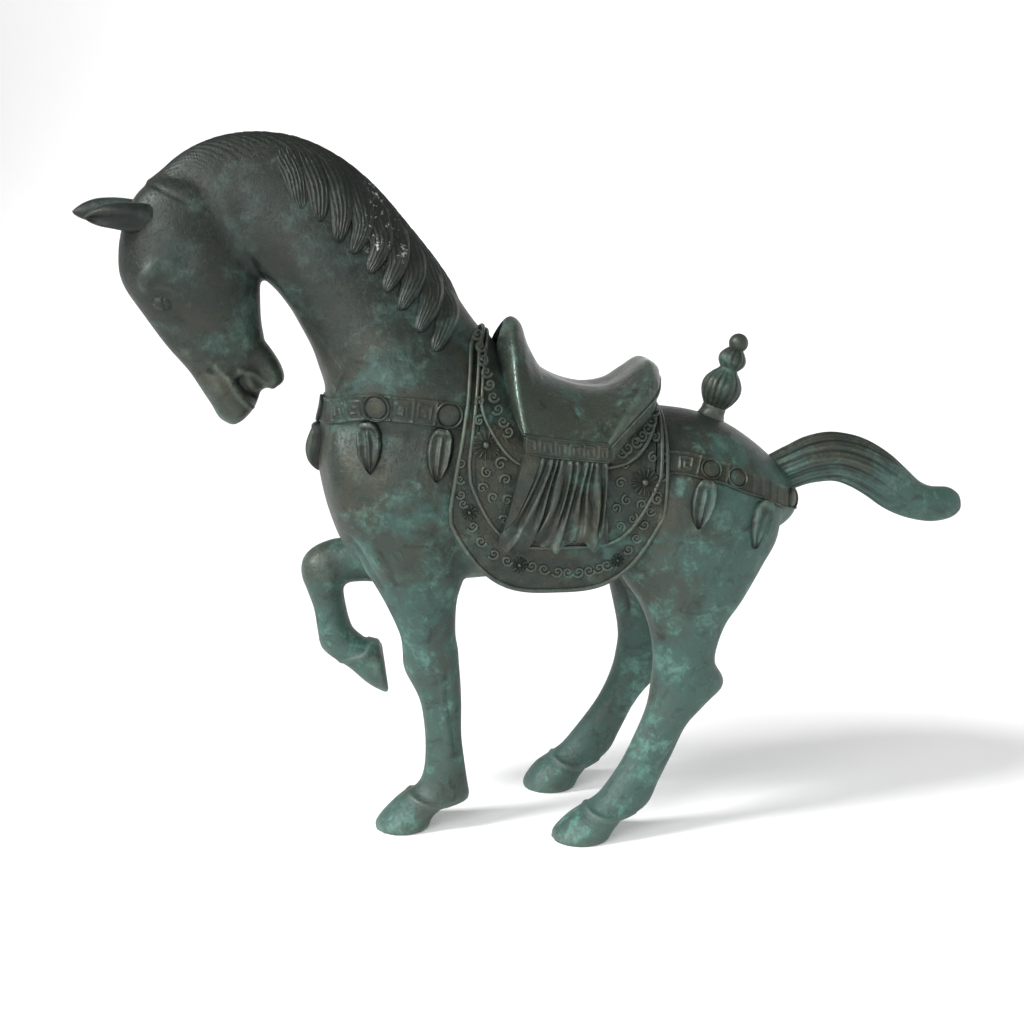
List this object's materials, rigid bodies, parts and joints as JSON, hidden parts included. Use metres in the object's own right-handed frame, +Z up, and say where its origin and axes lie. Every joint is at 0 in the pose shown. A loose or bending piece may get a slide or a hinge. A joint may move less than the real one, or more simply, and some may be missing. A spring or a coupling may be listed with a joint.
{
  "type": "bronze horse statue",
  "caption": "Hollow-cast bronze horse in the Tang manner, saddled, with ornamented breast and crupper straps, standing with one foreleg raised, its neck arched and its tail carried out behind.",
  "frame": {"origin": "middle of the bounding box in plan, on the plane the three standing hooves rest on", "axes": "the horse faces -X and its tail points to +X, its near (left) side faces -Y, +Z up"},
  "size_m": [0.5915, 0.15, 0.4667],
  "materials": {
    "bronze": "aged, dark green patina with verdigris in patches",
    "dark_bronze": "dark brown-green patina",
    "verdigris": "blue-green verdigris, rubbed on the high spots",
    "worn_bronze": "pale green patina, rubbed",
    "brown_bronze": "brown patina with green in the hollows",
    "bright_bronze": "bare machined bronze"
  },
  "bodies": {
    "root": {"torso": "bronze", "neck": "bronze", "head": "bronze", "left_ear": "bronze", "right_ear": "bronze", "left_foreleg": "bronze", "right_foreleg": "bronze", "left_hind_leg": "bronze", "right_hind_leg": "bronze", "tail": "bronze", "saddle_pad": "bronze", "left_saddle_drape": "bronze", "right_saddle_drape": "bronze", "breast_strap": "bronze", "crupper_strap": "bronze", "left_eye": "dark_bronze", "right_eye": "dark_bronze", "outer_saddle_cloth": "dark_bronze", "saddle_belt": "dark_bronze", "mane": "verdigris", "left_rosettes": "verdigris", "right_rosettes": "verdigris", "breast_medallions": "verdigris", "crupper_medallions": "verdigris", "breast_pendants": "worn_bronze", "crupper_pendants": "worn_bronze", "finial_base": "worn_bronze", "finial_bud": "worn_bronze", "finial_bead": "worn_bronze", "finial_ball": "worn_bronze", "middle_saddle_cloth": "brown_bronze", "saddle_seat": "brown_bronze", "finial_stud": "bright_bronze", "finial_nut": "bright_bronze", "neck_sleeve": "bright_bronze", "head_sleeve": "bright_bronze", "leg_dowels": "bright_bronze", "dowel_pins": "bright_bronze", "tail_tenon": "bright_bronze", "saddle_rivets": "bright_bronze"}
  },
  "joints": []
}
